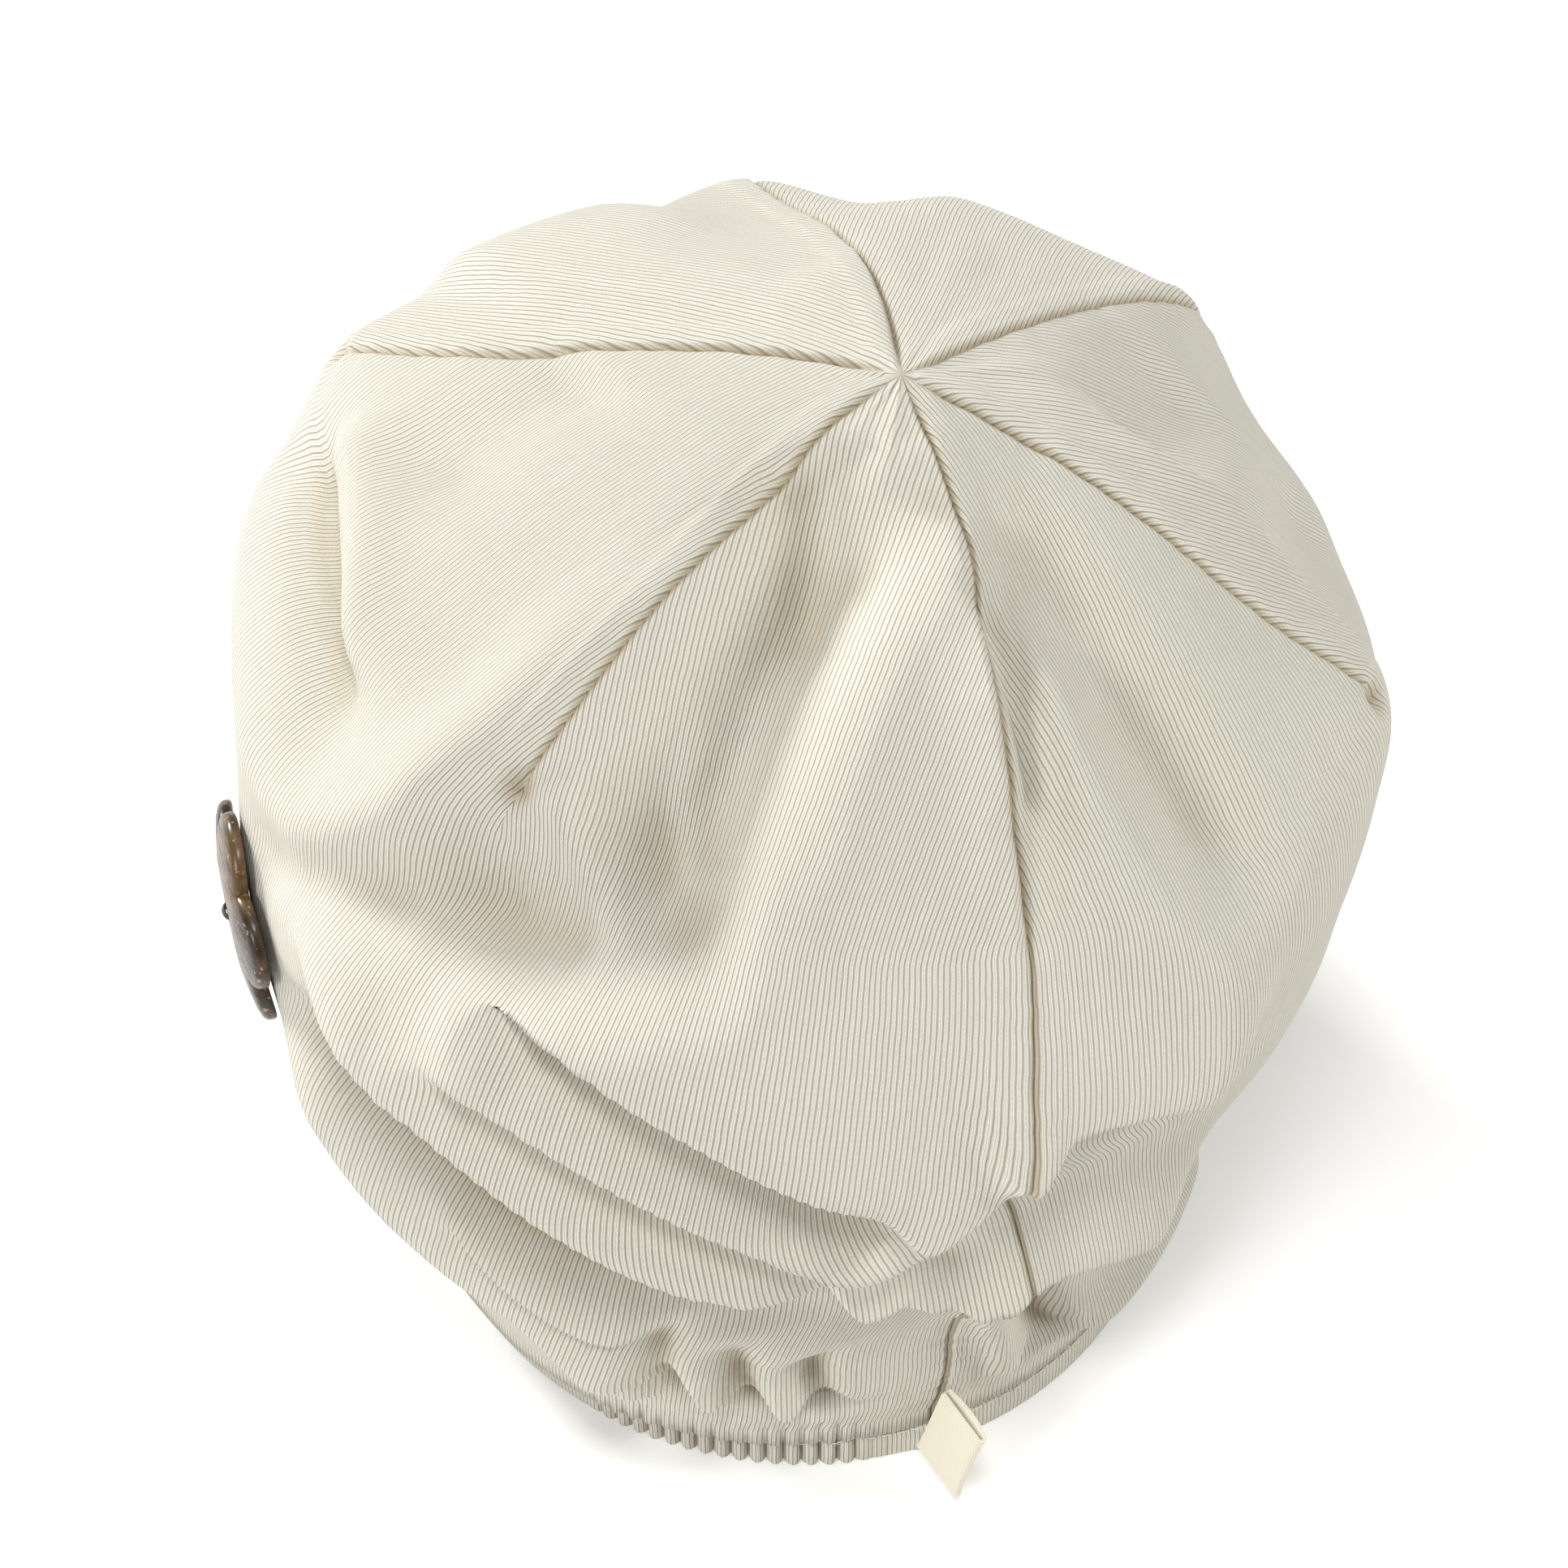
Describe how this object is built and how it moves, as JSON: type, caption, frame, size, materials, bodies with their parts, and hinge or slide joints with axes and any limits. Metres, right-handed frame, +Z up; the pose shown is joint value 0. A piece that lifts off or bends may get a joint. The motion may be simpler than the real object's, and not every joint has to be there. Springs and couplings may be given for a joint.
{
  "type": "flower beanie",
  "caption": "Soft slouch beanie of single jersey with radiating dart seams, a gathered elastic hem, a folded ribbon label and a flower button on its side.",
  "frame": {"origin": "middle of the box's underside, on the surface that the hem rests on", "axes": "+Z up from the hem to the crown, +Y towards the back seam, -Y towards the forehead, +X towards the wearer's left and the flower"},
  "size_m": [0.2178, 0.2172, 0.184],
  "materials": {
    "jersey": "matte cream cotton jersey knit",
    "ribbon": "matte cream woven ribbon",
    "coconut_shell": "polished dark brown coconut shell",
    "thread": "matte dark sewing thread"
  },
  "bodies": {
    "root": {"crown_cloth": "jersey", "hem_band": "jersey", "ribbon_label": "ribbon", "flower_button": "coconut_shell", "button_thread": "thread"}
  },
  "joints": []
}
